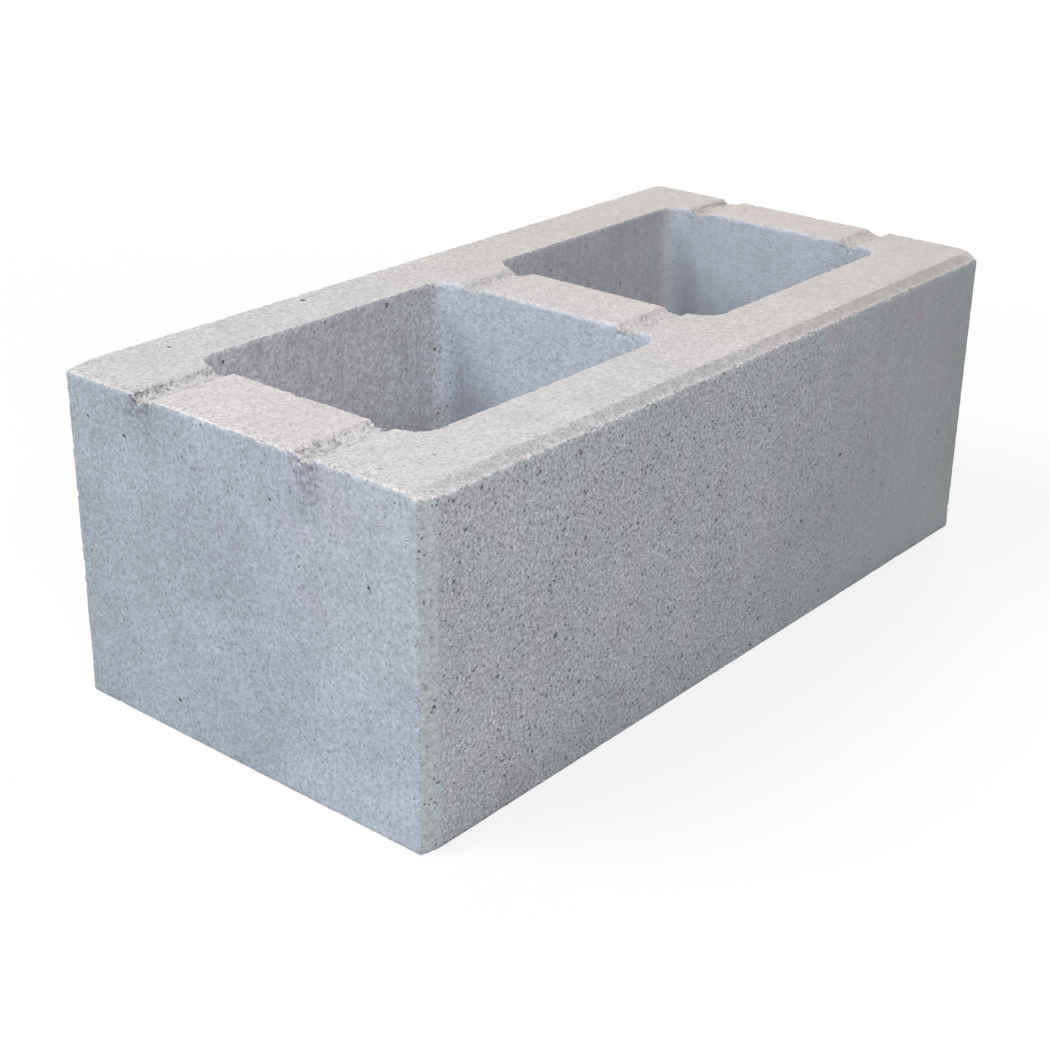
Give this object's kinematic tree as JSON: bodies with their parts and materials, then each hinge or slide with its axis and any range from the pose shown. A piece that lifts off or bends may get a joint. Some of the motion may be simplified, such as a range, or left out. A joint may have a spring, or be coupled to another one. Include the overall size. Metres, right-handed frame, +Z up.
{
  "type": "hollow concrete masonry block",
  "caption": "Hollow cast concrete building block with open cells, shallow break-out grooves across the webs and a chamfer along one long top edge.",
  "frame": {"origin": "middle of the underside, on the surface that the block stands on", "axes": "+Z up, along the open cells; +X along the length towards the thinner end web; +Y across the width"},
  "size_m": [0.39, 0.19, 0.14],
  "materials": {
    "concrete": "dry-cast concrete, matt and sandy, pale grey with a warmer top and fine dark pores"
  },
  "bodies": {
    "root": {"concrete_block": "concrete"}
  },
  "joints": []
}
